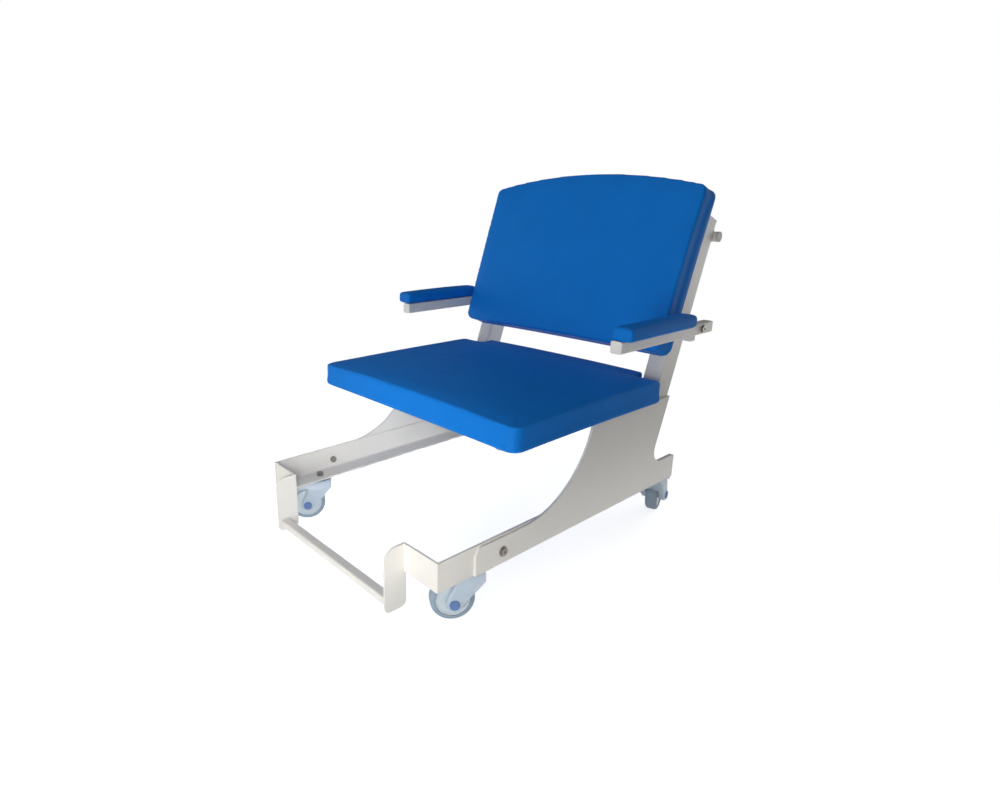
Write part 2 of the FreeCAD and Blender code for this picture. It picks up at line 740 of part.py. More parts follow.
def caster_fork(corner):
    """Moulded fork: a round crown on the stem, a hood over the wheel and two slanting arms to the axle."""
    body = start_body("fork_" + corner)
    rear = "fork_rear_inset - crown_diameter / 2"
    boss = "fork_boss_diameter / 2"
    arms = [
        (rear, "fork_top"),
        ("trail", "fork_top"),
        ("trail + hood_reach", "axle_z + hood_nose", "hood_bend", RIGHT),
        ("trail + hood_reach", "axle_z + sqrt(hood_radius ^ 2 - hood_reach ^ 2)"),
        ("trail - fork_arm_set", "axle_z + sqrt(hood_radius ^ 2 - fork_arm_set ^ 2)", "hood_radius", LEFT),
        (f"trail + {boss} * cos(fork_front_angle)", f"axle_z + {boss} * sin(fork_front_angle)"),
        ("trail", f"axle_z - {boss}", boss, RIGHT),
        (f"trail - {boss} * cos(fork_rear_angle)", f"axle_z - {boss} * sin(fork_rear_angle)", boss, RIGHT),
        (rear, "fork_top - fork_lip"),
    ]
    block = pad(body, draw(body, "YZ", arms), "fork_width", both=True)
    half_width = size("fork_width") / 2

    def on_outer_face(edge):
        box = edge.BoundBox
        return box.XLength < 0.01 and abs(abs(box.XMin) - half_width) < 0.01
    ease_edges("Chamfer", body, block, "fork_edge", on_outer_face)
    shoulder = [("fork_width / 2", "axle_z + shoulder_rise", "shoulder_round", RIGHT),
                ("fork_width / 2", "caster_height"),
                ("fork_width / 2 - shoulder_inset", "caster_height")]
    for mirror in (False, True):
        pocket(body, draw(body, "XZ", shoulder, mirror=mirror), "4 * wheel_diameter", both=True)
    crown = draw_circles(body, "XY", [("0", "0", "crown_diameter")], offset="crown_top")
    pad(body, crown, "crown_thickness", flip=True)
    reach = "(wheel_diameter / 2 + wheel_clearance)"
    slot = [
        (f"trail - {reach}", "-wheel_clearance"),
        (f"trail + {reach}", "-wheel_clearance"),
        (f"trail + {reach}", "axle_z"),
        ("trail", f"axle_z + {reach}", reach, LEFT),
        (f"trail - {reach}", "axle_z", reach, LEFT),
    ]
    pocket(body, draw(body, "YZ", slot), "fork_gap", both=True)
    behind = "pedal_set - pedal_barrel / 2 - pedal_space"
    recess = [(behind, "pedal_recess_z"), ("pedal_tip_set", "pedal_recess_z"),
              ("pedal_tip_set", "caster_height"), (behind, "caster_height")]
    pocket(body, draw(body, "YZ", recess), "pedal_width + 2 * side_clearance", both=True)
    axle = draw_circles(body, "YZ", [("trail", "axle_z", "axle_diameter + 2 * running_clearance")])
    pocket(body, axle, "2 * fork_width", both=True)
    pins = draw_circles(body, "YZ", [("pedal_set", "pedal_z", "pedal_pin + 2 * running_clearance")])
    pocket(body, pins, "pedal_width + 2 * (side_clearance + pedal_pin_depth)", both=True)
    stem_bore = [("0", "0", "stem_diameter + 2 * running_clearance")]
    pocket(body, draw_circles(body, "XY", stem_bore), "2 * caster_height", both=True)
    nut_pocket = draw_circles(body, "XY", [("0", "0", "stem_nut_pocket")])
    pocket(body, nut_pocket, "nut_seat", flip=True)
    put_at_stem(body, corner)


def caster_pedal(corner):
    """Brake pedal that turns on its own pins between the sides of the hood."""
    body = start_body("brake_pedal_" + corner)
    barrel = draw_circles(body, "YZ", [("pedal_set", "pedal_z", "pedal_barrel")])
    pad(body, barrel, "pedal_width", both=True)
    blade = [
        ("pedal_set", "pedal_z - pedal_blade / 2"),
        ("pedal_tip_set - pedal_blade / 2", "pedal_z - pedal_blade / 2"),
        ("pedal_tip_set", "pedal_z", "pedal_blade / 2", LEFT),
        ("pedal_tip_set - pedal_blade / 2", "pedal_z + pedal_blade / 2", "pedal_blade / 2", LEFT),
        ("pedal_set", "pedal_z + pedal_blade / 2"),
    ]
    pad(body, draw(body, "YZ", blade), "pedal_width", both=True)
    pins = draw_circles(body, "YZ", [("pedal_set", "pedal_z", "pedal_pin")])
    pad(body, pins, "pedal_width + 2 * (side_clearance + pedal_pin_depth - face_clearance)", both=True)
    put_at_stem(body, corner)


def caster_stem(corner):
    """Swivel bolt: a hexagon head on the rail, a thrust washer under it and a shank through the crown."""
    body = start_body("caster_stem_" + corner)
    seat = "caster_height + rail_thickness"
    tail = "nut_seat - stem_nut_height - stem_tail"
    shank = draw_circles(body, "XY", [("0", "0", "stem_diameter")], offset=tail)
    pad(body, shank, f"{seat} - ({tail})")
    pad(body, draw(body, "XY", hexagon("stem_head"), offset=seat), "stem_head_height")
    washer = draw_circles(body, "XY", [("0", "0", "thrust_washer_diameter")], offset="caster_height")
    pad(body, washer, "crown_gap - face_clearance", flip=True)
    put_at_stem(body, corner)


def stem_nut(corner):
    """Nut that holds the fork on its stem, inside the crown."""
    body = start_body("stem_nut_" + corner, keep=False)
    outline = draw(body, "XY", hexagon("(1.5 * stem_diameter)"), offset="nut_seat - face_clearance")
    pad(body, outline, "stem_nut_height", flip=True)
    bore = draw_circles(body, "XY", [("0", "0", "stem_diameter + 2 * running_clearance")])
    pocket(body, bore, "2 * caster_height", both=True)
    put_at_stem(body, corner)
    return body


def caster_hub(corner):
    """Moulded wheel centre with a dished face and a bore that runs on the axle."""
    body = start_body("wheel_hub_" + corner)
    bore = "axle_diameter / 2 + running_clearance"
    boss = "fork_gap / 2 - side_clearance"
    rim = "tyre_width / 2 - hub_dish / 2"
    web = "tyre_width / 2 - hub_dish"
    half_section = [
        (f"-({boss})", bore), (boss, bore), (boss, "hub_boss_diameter / 2"),
        (web, "hub_boss_diameter / 2 + hub_dish"), (web, "hub_radius - 2 * hub_dish"),
        (rim, "hub_radius - hub_dish"), (rim, "hub_radius"),
        (f"-({rim})", "hub_radius"), (f"-({rim})", "hub_radius - hub_dish"),
        (f"-({web})", "hub_radius - 2 * hub_dish"), (f"-({web})", "hub_boss_diameter / 2 + hub_dish"),
        (f"-({boss})", "hub_boss_diameter / 2"),
    ]
    revolve(body, draw(body, "XY", half_section))
    put_at_axle(body, corner)


def caster_tyre(corner):
    """Rubber tyre with rounded shoulders on the wheel centre."""
    body = start_body("tyre_" + corner)
    half = "tyre_width / 2"
    inner = "hub_radius + running_clearance"
    outer = "wheel_diameter / 2"
    half_section = [
        (f"-{half}", inner), (half, inner), (half, f"{outer} - tyre_shoulder"),
        (f"{half} - tyre_shoulder", outer, "tyre_shoulder", LEFT),
        (f"tyre_shoulder - {half}", outer),
        (f"-{half}", f"{outer} - tyre_shoulder", "tyre_shoulder", LEFT),
    ]
    revolve(body, draw(body, "XY", half_section))
    put_at_axle(body, corner)


def caster_axle(corner):
    """Steel axle through the arms of the fork."""
    body = start_body("axle_" + corner)
    pad(body, draw_circles(body, "YZ", [("0", "0", "axle_diameter")]), "fork_width", both=True)
    put_at_axle(body, corner)


def axle_caps(corner):
    """Two moulded caps over the ends of the axle."""
    caps = []
    for side, sign in SIDES.items():
        body = start_body(f"axle_cap_{side}_{corner}", keep=False)
        disc = draw_circles(body, "YZ", [("0", "0", "axle_cap_diameter")],
                            offset=f"{sign} * fork_width / 2")
        lid = pad(body, disc, "axle_cap_thickness", flip=sign < 0)
        far = sign * (size("fork_width") / 2 + size("axle_cap_thickness"))
        ease_edges("Fillet", body, lid, "axle_cap_thickness / 2",
                   lambda edge: abs(edge.CenterOfMass.x - far) < 0.01)
        put_at_axle(body, corner)
        caps.append(body)
    group("axle_caps_" + corner, caps)


# Seat and backrest

def seat_corners(inset):
    """Corners of the seat seen from above: two notches at the rear let the uprights pass."""
    side = f"seat_width / 2 - {inset}"
    neck = f"seat_neck - {inset}"
    return [(f"-({side})", inset), (side, inset), (side, f"seat_depth - {inset}"),
            (neck, f"seat_depth - {inset}"), (neck, f"seat_depth + seat_tongue - {inset}"),
            (f"-({neck})", f"seat_depth + seat_tongue - {inset}"), (f"-({neck})", f"seat_depth - {inset}"),
            (f"-({side})", f"seat_depth - {inset}")]


def seat_board():
    """Board in the underside of the seat cushion."""
    body = start_body("seat_board")
    pad(body, draw(body, "XY", seat_corners("board_inset")), "board_thickness")
    put(body, y="seat_front", z="plate_top")
    return body


def back_board():
    """Board in the rear of the back cushion, fixed to the fronts of the uprights."""
    body = start_body("back_board")
    low = "back_width / 2 - back_board_inset"
    high = "back_width / 2 + back_flare - back_board_inset"
    top = "back_height - back_board_inset"
    radius = f"((({high}) ^ 2 + back_arch ^ 2) / (2 * back_arch))"
    outline = [(f"-({low})", "back_board_inset"), (low, "back_board_inset"), (high, top),
               (f"-({high})", top, radius, LEFT)]
    pad(body, draw(body, "XZ", outline), "back_board_thickness")
    put_on_back(body, out="upright_front")
    return body


def unit(vector):
    return vector / vector.Length


def pad_outline(corners, inset, height):
    """Outline of a pad at one height, drawn in by an inset.

    A corner is (x, y, radius, bow); the bow lifts the middle of the side that leaves it outwards.
    """
    count = len(corners)
    spots = [Vector(corner[0], corner[1], 0) for corner in corners]
    along = [unit(spots[(index + 1) % count] - spots[index]) for index in range(count)]
    inward = [Vector(-way.y, way.x, 0) for way in along]
    rounds = []
    for index, corner in enumerate(corners):
        before, after = along[index - 1], along[index]
        shift = (inward[index - 1] + inward[index]) * (inset / (1 + inward[index - 1].dot(inward[index])))
        spot = spots[index] + shift + Vector(0, 0, height)
        half_turn = math.acos(max(-1, min(1, before.dot(after)))) / 2
        reach = corner[2] * math.tan(half_turn)
        towards = unit(after - before)
        middle = spot + towards * (corner[2] / math.cos(half_turn) - corner[2])
        rounds.append((spot - before * reach, middle, spot + after * reach))
    edges = []
    for index, corner in enumerate(corners):
        enter, middle, leave = rounds[index]
        following = rounds[(index + 1) % count][0]
        edges.append(Part.Arc(enter, middle, leave).toShape())
        lift = (leave + following) * 0.5 - inward[index] * corner[3]
        edges.append(Part.Arc(leave, lift, following).toShape())
    return Part.Wire(edges)


def crowned_pad(label, corners, thickness, dome, board=None):
    """Pad with rolled edges and drawn-in sides under a dome; its underside lies on z = 0.

    Where the pad has a board, the board sits in its underside.
    """
    edge = size("pad_edge")
    levels = [(0, edge), (edge / 2, edge / 4), (edge, 0), (thickness - 1.5 * edge, 0),
              (thickness - edge / 2, edge / 3), (thickness, 1.5 * edge)]
    body = Part.makeLoft([pad_outline(corners, inset, height) for height, inset in levels], True, True)
    feature = document.addObject("Part::Feature", label)
    feature.Label = label
    crowned = body.common(dome)
    feature.Shape = crowned.cut(board) if board else crowned
    pieces.append(feature)
    return feature


def ball_dome(span, crown, top, middle):
    """Ball that falls by the crown at half the span from its top."""
    radius = (span ** 2 + crown ** 2) / (2 * crown)
    return Part.makeSphere(radius, Vector(0, middle, top - radius))


def barrel_dome(span, crown, top, length):
    """Barrel along y that falls by the crown at half the span from its top."""
    radius = (span ** 2 + crown ** 2) / (2 * crown)
    return Part.makeCylinder(radius, 3 * length, Vector(0, -length, top - radius), Vector(0, 1, 0))


def seat_cushion(board):
    """Seat pad whose cover wraps its board."""
    draw_in = -size("pad_draw")
    front = size("seat_corner")
    inner = size("pad_edge")
    radii = [front, front, front / 3, inner, inner, inner, inner, front / 3]
    bows = [draw_in] * 2 + [-size("notch_draw")] * 5 + [draw_in]
    flat = [(value(sizes, x), value(sizes, y)) for x, y in seat_corners("0")]
    corners = [spot + (radius, bow) for spot, radius, bow in zip(flat, radii, bows)]
    thickness = size("seat_thickness") + size("board_thickness")
    dome = ball_dome(size("seat_width") / 2, size("seat_crown"), thickness, size("seat_depth") / 2)
    cushion = crowned_pad("seat_cushion", corners, thickness, dome, board.Tip.Shape)
    put(cushion, y="seat_front", z="plate_top")


def back_cushion(board):
    """Back pad with an arched top, wrapping its board; its face looks forwards and up."""
    low = size("back_width") / 2
    high = low + size("back_flare")
    tall = size("back_height")
    draw_in = -size("pad_draw")
    corner = size("back_corner")
    corners = [(-low, 0, corner, draw_in), (low, 0, corner, draw_in),
               (high, tall, corner, size("back_arch")), (-high, tall, corner, draw_in)]
    thickness = size("back_thickness") + size("back_board_thickness")
    lying = board.Tip.Shape.copy()
    lying.rotate(Vector(), X_AXIS, -90)
    cushion = crowned_pad("back_cushion", corners, thickness,
                          ball_dome(high, size("back_crown"), thickness, tall / 2), lying)
    put(cushion, y="back_y + upright_front * cos(back_lean)",
        z="back_z - upright_front * sin(back_lean)", axis=X_AXIS, angle="90 - back_lean")


def arm_pad(side, sign):
    """Pad along the top of an arm tube; it overhangs the tube outwards."""
    half = size("arm_pad_width") / 2
    long = size("arm_pad_length")
    corner = size("arm_pad_corner")
    draw_in = -size("pad_draw") / 4
    corners = [(x, y, corner, draw_in) for x, y in ((-half, 0), (half, 0), (half, long), (-half, long))]
    thickness = size("arm_pad_thickness")
    cushion = crowned_pad("arm_pad_" + side, corners, thickness,
                          barrel_dome(half, size("arm_pad_crown"), thickness, long))
    put(cushion, f"{sign} * (arm_inside + arm_pad_width / 2)", "arm_front_y - arm_pad_lead", "arm_tube_top")


def build():
    """Make every piece of the chair."""
    for side, sign in SIDES.items():
        side_plate(side, sign)
        lower_rail(side, sign)
        foot_bracket(side, sign)
        back_upright(side, sign)
        arm_tube(side, sign)
        arm_pad(side, sign)
        group("arm_plugs_" + side, [arm_plug(side, sign, "front", -1),
                                    arm_plug(side, sign, "rear", 1)])
    foot_bar()
    cross_tube("cross_tube_front", "front_cross_set")
    cross_tube("cross_tube_rear", "rear_cross_set")
    group("back_rails", [back_rail("back_rail_lower", "back_rail_low"),
                         back_rail("back_rail_upper", "back_rail_high")])
    push_bar()
    pairs = {"upright_caps": upright_cap, "push_bar_saddles": push_bar_saddle,
             "push_bar_caps": push_bar_cap, "arm_bushes": arm_bush, "arm_bolts": arm_bolt,
             "arm_stops": arm_stop, "rail_bolts": rail_bolt, "rail_nuts": rail_nut}
    for label, make in pairs.items():
        group(label, [make(side, sign) for side, sign in SIDES.items()])
    for corner in CORNERS:
        for make in (caster_fork, caster_pedal, caster_stem, caster_hub, caster_tyre, caster_axle,
                     axle_caps):
            make(corner)
    group("stem_nuts", [stem_nut(corner) for corner in CORNERS])
    boards = seat_board(), back_board()
    document.recompute()
    seat_cushion(boards[0])
    back_cushion(boards[1])


def check():
    """Stop if any object failed, any cut removed nothing, or any piece is empty or invalid."""
    document.recompute()
    for item in document.Objects:
        if {"Invalid", "Error"} & set(item.State):
            raise RuntimeError(f"{item.Label} failed: {item.State}")
        if item.TypeId == "PartDesign::Pocket" and item.Shape.Volume > item.BaseFeature.Shape.Volume - 1:
            raise RuntimeError(f"{item.Label} in {item.getParent().Label} cuts nothing")
    for piece in pieces:
        if piece.Shape.isNull() or not piece.Shape.isValid() or not piece.Shape.Solids:
            raise RuntimeError(f"{piece.Label} has no sound solid")


def write():
    """Write each piece to a file named after it."""
    os.makedirs("parts", exist_ok=True)
    for piece in pieces:
        piece.Shape.exportStep(f"parts/{piece.Label}.step")


build()
check()
write()
box = Part.Compound([piece.Shape for piece in pieces]).optimalBoundingBox(False)
print(f"{len(pieces)} pieces, {box.XLength:.1f} x {box.YLength:.1f} x {box.ZLength:.1f} mm")
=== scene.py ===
import json
import math

import bpy
import numpy as np
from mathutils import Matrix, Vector


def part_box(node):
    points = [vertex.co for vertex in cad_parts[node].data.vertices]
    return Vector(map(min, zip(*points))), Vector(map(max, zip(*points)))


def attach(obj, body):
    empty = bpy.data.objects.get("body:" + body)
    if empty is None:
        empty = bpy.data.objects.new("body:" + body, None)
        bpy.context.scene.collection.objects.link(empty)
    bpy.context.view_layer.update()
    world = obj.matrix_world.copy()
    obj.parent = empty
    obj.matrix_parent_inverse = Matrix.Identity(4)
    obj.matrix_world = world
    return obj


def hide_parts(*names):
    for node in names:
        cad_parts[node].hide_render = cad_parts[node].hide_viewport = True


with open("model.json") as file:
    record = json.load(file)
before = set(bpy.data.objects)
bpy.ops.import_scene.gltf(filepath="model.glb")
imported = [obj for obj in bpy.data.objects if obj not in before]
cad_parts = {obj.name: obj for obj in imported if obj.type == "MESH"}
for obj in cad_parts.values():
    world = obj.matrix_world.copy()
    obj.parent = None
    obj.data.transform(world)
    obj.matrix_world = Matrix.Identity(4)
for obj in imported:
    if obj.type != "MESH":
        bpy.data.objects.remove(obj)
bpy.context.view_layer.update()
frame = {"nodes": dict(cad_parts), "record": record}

bl_info = {
    "name": "Transfer chair looks",
    "version": (1, 0, 0),
    "blender": (4, 5, 0),
    "location": "3D View > Sidebar > Transfer chair",
    "description": "Upholstery, finishes, small details and studio for a wide transfer chair",
    "category": "Object",
}

MM = 0.001
NODES = frame["nodes"]
BEHAVIOUR = frame["record"]["behaviour"]
BODY_OF = {node: body for body, nodes in BEHAVIOUR["bodies"].items() for node in nodes}
SLOT_OF = {row["node"]: row["material_slot"] for row in frame["record"]["subparts"]}
JOINTS = {joint["name"]: joint for joint in BEHAVIOUR["joints"]}
CORNERS = ("front_right", "front_left", "rear_right", "rear_left")
SIDES = ("right", "left")
WELDED_NODES = ("foot_bar", "cross_tube_front", "cross_tube_rear", "back_rails", "arm_stops")
PEDAL_RIDGES = 4
SWELL_FRAMES = 20
SOFT_EDGE_ANGLE = math.radians(40)

# Each lamp has its name, place, target, width and height, power, and the spread of its beam in degrees
LAMPS = (
    ("front_softbox", (0.7, -2.2, 0.42), (0, 0, 0.4), (1.4, 1.4), 27.5, 180),
    ("right_strip", (1.9, -0.2, 0.14), (0, 0, 0.1), (2.0, 0.24), 0.27, 16),
    ("left_side_fill", (1.6, -1.6, 1.0), (-0.35, -0.2, 0.15), (0.4, 0.4), 0.52, 21),
    ("top_softbox", (-0.8, -0.6, 3.6), (0, 0, 0.4), (3.0, 3.0), 14, 180),
    ("back_softbox", (0.4, 2.9, 0.5), (0, 0, 0.4), (2.0, 2.0), 32, 180),
    ("left_softbox", (-2.6, -0.5, 0.6), (0, 0, 0.35), (1.6, 1.6), 16, 180),
)
ROOM_LIGHT = 0.16
FLOOR_GLOW = 0.72

# The camera's place from the seat's front edge, its turn, and its lens, fitted to the photograph
CAMERA_RIGHT, CAMERA_AHEAD, CAMERA_HEIGHT = 1.1861, 0.9501, 0.9
CAMERA_DOWN, CAMERA_TURN = math.radians(16.41), math.radians(49.94)
CAMERA_LENS, CAMERA_SHIFT = 22.558, (0.0836, -0.0092)


def linear(code):
    """Linear colour of an sRGB hex value."""
    parts = [int(code[place:place + 2], 16) / 255 for place in (1, 3, 5)]
    return tuple(part / 12.92 if part <= 0.04045 else ((part + 0.055) / 1.055) ** 2.4 for part in parts)


def colour(name, description, code):
    """Colour property whose default is an sRGB hex value."""
    return bpy.props.FloatVectorProperty(name=name, description=description, subtype="COLOR", size=3,
                                         min=0, max=1, default=linear(code))


def length(name, description, millimetres):
    """Length property whose default is given in millimetres."""
    return bpy.props.FloatProperty(name=name, description=description, default=millimetres * MM, min=0,
                                   unit="LENGTH", precision=4)


class ChairColours(bpy.types.PropertyGroup):
    """Colours of the chair's finishes."""

    cover: colour("Cover", "Coated fabric of the seat, backrest and arm pads", "#1078D4")
    coat: colour("Powder coat", "Satin coat of the steel frame", "#E9E6DF")
    fork: colour("Caster fork", "Moulded nylon of the forks and pedals", "#B4C2CF")
    hub: colour("Wheel centre", "Moulded nylon of the wheel centres", "#CDD8DE")
    tyre: colour("Tyre", "Non-marking rubber of the tyres", "#8FA0AF")
    axle_cap: colour("Axle cap", "Moulded caps over the axles", "#5577AD")
    trim: colour("Grey trim", "Moulded bushes and push bar ends", "#C4C2BD")
    plug: colour("White trim", "Moulded caps and plugs of the tubes", "#ECEAE5")
    zinc: colour("Zinc plate", "Bolts, nuts, stems and axles", "#9A948C")
    floor: colour("Floor", "Pale studio floor", "#F4F4F4")


class ChairSizes(bpy.types.PropertyGroup):
    """Sizes of the upholstery and the small details."""

    seat_voxel: length("Seat voxel", "Mesh spacing of the seat and back covers before they are smoothed", 7)
    arm_voxel: length("Arm pad voxel", "Mesh spacing of the arm pad covers before they are smoothed", 4)
    draw_in: length("Draw in", "How far a cover is drawn in before it swells", 0.5)
    swell: length("Swell", "Most that a point of a cover may move as it swells", 3)
    stapled: length("Stapled edge", "How much of a seat or back cover is stapled round its board", 14)
    weld: length("Weld", "Radius of the weld beads", 2)
    washer: length("Washer", "Diameter of the washers under the rail bolts' heads", 25)
    ridge: length("Pedal ridge", "Height of the grip ridges on the brake pedals", 1)
    ridge_step: length("Ridge step", "Spacing of the grip ridges on the brake pedals", 6)
    grain: length("Cover grain", "Width of the grain cells in the coated fabric", 2.2)
    coat_peel: length("Coat ripple", "Width of the ripples in the powder coat", 2.5)
    edge_round: length("Edge round", "Radius that the coat gives to a cut edge", 1.2)


def sizes():
    """Sizes as they are set on the scene."""
    return bpy.context.scene.chair_sizes


def colours():
    """Colours as they are set on the scene."""
    return bpy.context.scene.chair_colours


# Materials

def add_node(tree, kind, inputs=None, **settings):
    """Add a node with its settings; an input is a value or the socket that feeds it."""
    made = tree.nodes.new(kind)
    for name, setting in settings.items():
        setattr(made, name, setting)
    for name, given in (inputs or {}).items():
        if isinstance(given, bpy.types.NodeSocket):
            tree.links.new(given, made.inputs[name])
        else:
            made.inputs[name].default_value = given
    return made


def start_material(name):
    """Empty material with an output; gives the material, its tree and its Object coordinates."""
    made = bpy.data.materials.new(name)
    made.use_nodes = True
    tree = made.node_tree
    tree.nodes.clear()
    place = add_node(tree, "ShaderNodeTexCoord").outputs["Object"]
    return made, tree, place


def finish_material(tree, shader):
    add_node(tree, "ShaderNodeOutputMaterial", {"Surface": shader.outputs[0]})


def per_metre(cell):
    """Texture scale that gives cells of a real width in metres."""
    return 1 / cell


def shades(tree, factor, low, high):
    """Colour that runs between two shades with a factor."""
    ramp = add_node(tree, "ShaderNodeMixRGB", {"Fac": factor, "Color1": (*low, 1), "Color2": (*high, 1)})
    return ramp.outputs["Color"]


def span(tree, factor, low, high):
    """Number that runs between two values with a factor."""
    ramp = add_node(tree, "ShaderNodeMapRange", {"Value": factor, "To Min": low, "To Max": high})
    return ramp.outputs["Result"]


def toned(shade, share):
    """Darker or lighter tone of a shade."""
    return tuple(part * share for part in shade)


def coated_fabric():
    """PVC-coated knit, calendered: a fine leather-like grain with a soft sheen, a little uneven in tone."""
    made, tree, place = start_material("pvc_coated_fabric")
    shade = tuple(colours().cover)
    grain = add_node(tree, "ShaderNodeTexVoronoi", {"Vector": place, "Scale": per_metre(sizes().grain)},
                     feature="SMOOTH_F1")
    fine = add_node(tree, "ShaderNodeTexNoise", {"Vector": place, "Scale": per_metre(0.6 * sizes().grain),
                                                 "Detail": 3})
    cloud = add_node(tree, "ShaderNodeTexNoise", {"Vector": place, "Scale": per_metre(90 * MM), "Detail": 2})
    rub = add_node(tree, "ShaderNodeTexNoise", {"Vector": place, "Scale": per_metre(25 * MM), "Detail": 4})
    height = add_node(tree, "ShaderNodeMath", {0: grain.outputs["Distance"], 1: fine.outputs["Fac"]},
                      operation="ADD")
    bump = add_node(tree, "ShaderNodeBump", {"Height": height.outputs[0], "Strength": 0.22,
                                             "Distance": 0.15 * MM})
    shader = add_node(tree, "ShaderNodeBsdfPrincipled", {
        "Base Color": shades(tree, cloud.outputs["Fac"], toned(shade, 0.92), toned(shade, 1.06)),
        "Roughness": span(tree, rub.outputs["Fac"], 0.5, 0.62),
        "Normal": bump.outputs["Normal"], "IOR": 1.5, "Specular IOR Level": 0.08})
    finish_material(tree, shader)
    return made


def powder_coat():
    """Polyester powder coat on steel: satin white with a slight ripple, and edges softened by the coat."""
    made, tree, place = start_material("polyester_powder_coat")
    shade = tuple(colours().coat)
    cloud = add_node(tree, "ShaderNodeTexNoise", {"Vector": place, "Scale": per_metre(120 * MM), "Detail": 2})
    ripple = add_node(tree, "ShaderNodeTexNoise", {"Vector": place, "Scale": per_metre(sizes().coat_peel),
                                                   "Detail": 1})
    edges = add_node(tree, "ShaderNodeBevel", {"Radius": sizes().edge_round}, samples=4)
    bump = add_node(tree, "ShaderNodeBump", {"Height": ripple.outputs["Fac"], "Strength": 0.08,
                                             "Distance": 0.1 * MM, "Normal": edges.outputs["Normal"]})
    shader = add_node(tree, "ShaderNodeBsdfPrincipled", {
        "Base Color": shades(tree, cloud.outputs["Fac"], toned(shade, 0.97), shade),
        "Roughness": span(tree, ripple.outputs["Fac"], 0.34, 0.44),
        "Normal": bump.outputs["Normal"], "IOR": 1.5})
    finish_material(tree, shader)
    return made


def moulded(name, shade, roughness, grit):
    """Moulded plastic or rubber: a fine spark-eroded skin, even in tone, with soft edges."""
    made, tree, place = start_material(name)
    skin = add_node(tree, "ShaderNodeTexNoise", {"Vector": place, "Scale": per_metre(grit), "Detail": 2})
    flow = add_node(tree, "ShaderNodeTexNoise", {"Vector": place, "Scale": per_metre(30 * MM), "Detail": 1})
    edges = add_node(tree, "ShaderNodeBevel", {"Radius": 0.8 * MM}, samples=4)
    bump = add_node(tree, "ShaderNodeBump", {"Height": skin.outputs["Fac"], "Strength": 0.12,
                                             "Distance": 0.1 * MM, "Normal": edges.outputs["Normal"]})
    shader = add_node(tree, "ShaderNodeBsdfPrincipled", {
        "Base Color": shades(tree, flow.outputs["Fac"], toned(shade, 0.94), toned(shade, 1.03)),
        "Roughness": span(tree, skin.outputs["Fac"], roughness - 0.05, roughness + 0.05),
        "Normal": bump.outputs["Normal"], "IOR": 1.53})
    finish_material(tree, shader)
    return made


def zinc_plate():
    """Zinc-plated steel: a dull grey metal with fine turning marks and small stains."""
    made, tree, place = start_material("zinc_plated_steel")
    shade = tuple(colours().zinc)
    stain = add_node(tree, "ShaderNodeTexNoise", {"Vector": place, "Scale": per_metre(4 * MM), "Detail": 4})
    marks = add_node(tree, "ShaderNodeTexNoise", {"Vector": place, "Scale": per_metre(0.8 * MM), "Detail": 1})
    bump = add_node(tree, "ShaderNodeBump", {"Height": marks.outputs["Fac"], "Strength": 0.1,
                                             "Distance": 0.05 * MM})
    shader = add_node(tree, "ShaderNodeBsdfPrincipled", {
        "Base Color": shades(tree, stain.outputs["Fac"], toned(shade, 0.7), shade),
        "Roughness": span(tree, stain.outputs["Fac"], 0.3, 0.5),
        "Normal": bump.outputs["Normal"], "Metallic": 1})
    finish_material(tree, shader)
    return made


FINISH_MAKERS = {"white_powder_coat": powder_coat, "blue_vinyl": coated_fabric, "zinc_steel": zinc_plate}

# Material, colour, roughness, and width of the skin's grit, of each moulded finish
MOULDED = {
    "white_plastic": ("white_abs", "plug", 0.4, 1.5 * MM),
    "grey_plastic": ("grey_polypropylene", "trim", 0.5, 1.5 * MM),
    "caster_grey": ("grey_nylon_fork", "fork", 0.42, 1.5 * MM),
    "wheel_grey": ("grey_nylon_wheel", "hub", 0.4, 1.5 * MM),
    "caster_tyre": ("grey_thermoplastic_rubber", "tyre", 0.6, 1 * MM),
    "cap_blue": ("blue_abs", "axle_cap", 0.35, 1.5 * MM),
}
FINISHES = {}


def finish_of(slot):
    """Material for one of the record's slots, made once."""
    if slot not in FINISHES and slot in FINISH_MAKERS:
        FINISHES[slot] = FINISH_MAKERS[slot]()
    elif slot not in FINISHES:
        name, shade, roughness, grit = MOULDED[slot]
        FINISHES[slot] = moulded(name, tuple(getattr(colours(), shade)), roughness, grit)
    return FINISHES[slot]


def dress(piece, slot):
    """Give a piece the finish of a slot, and no other."""
    piece.data.materials.clear()
    piece.data.materials.append(finish_of(slot))


# Modelling

def deselect():
    """Leave edit mode with nothing selected."""
    if bpy.context.object and bpy.context.object.mode != "OBJECT":
        bpy.ops.object.mode_set(mode="OBJECT")
    bpy.ops.object.select_all(action="DESELECT")


def make_active(piece):
    """Select one piece alone."""
    deselect()
    piece.select_set(True)
    bpy.context.view_layer.objects.active = piece


def apply_modifier(piece, kind, **settings):
    """Add a modifier with its settings and apply it."""
    make_active(piece)
    added = piece.modifiers.new(kind, kind)
    for name, setting in settings.items():
        setattr(added, name, setting)
    bpy.ops.object.modifier_apply(modifier=added.name)


def copy_of(node, name):
    """Copy of a CAD node with its loose triangles merged."""
    piece = bpy.data.objects.new(name, NODES[node].data.copy())
    bpy.context.scene.collection.objects.link(piece)
    make_active(piece)
    bpy.ops.object.mode_set(mode="EDIT")
    bpy.ops.mesh.select_all(action="SELECT")
    bpy.ops.mesh.remove_doubles(threshold=0.01 * MM)
    bpy.ops.object.mode_set(mode="OBJECT")
    return piece


def places(piece):
    """Places of a mesh's points, one row each."""
    flat = np.zeros(len(piece.data.vertices) * 3)
    piece.data.vertices.foreach_get("co", flat)
    return flat.reshape(-1, 3)


def set_places(piece, rows):
    piece.data.vertices.foreach_set("co", rows.ravel())
    piece.data.update()


